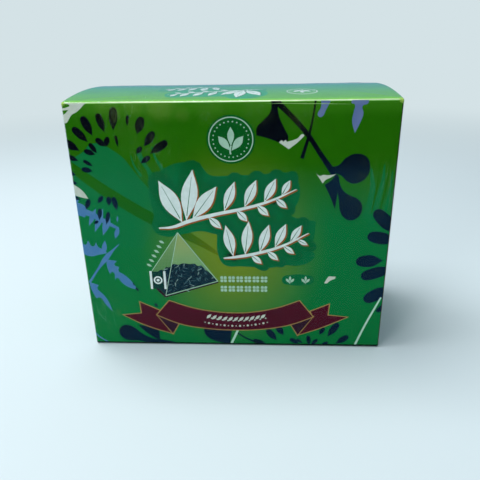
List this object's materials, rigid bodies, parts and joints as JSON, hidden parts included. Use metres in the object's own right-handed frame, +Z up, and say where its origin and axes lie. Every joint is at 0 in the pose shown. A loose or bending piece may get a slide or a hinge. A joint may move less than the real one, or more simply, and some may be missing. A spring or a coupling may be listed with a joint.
{
  "type": "tea box",
  "caption": "Shut tuck-lid carton for tea bags in clear overwrap film, with a bowed lid, plain green print, mitred film folds at the ends and a long seam at the back.",
  "frame": {"origin": "middle of the footprint, on the film's underside, which is the surface that the box stands on", "axes": "+Z up; -Y is the wide front panel that the lid is hinged on; +Y is the back panel that the lid's tuck goes in behind; +X is the right-hand narrow side seen from the front"},
  "size_m": [0.1558, 0.0723, 0.1328],
  "materials": {
    "printed_board": "satin",
    "clear_film": "gloss"
  },
  "bodies": {
    "root": {"carton": "printed_board", "overwrap": "clear_film"}
  },
  "joints": []
}
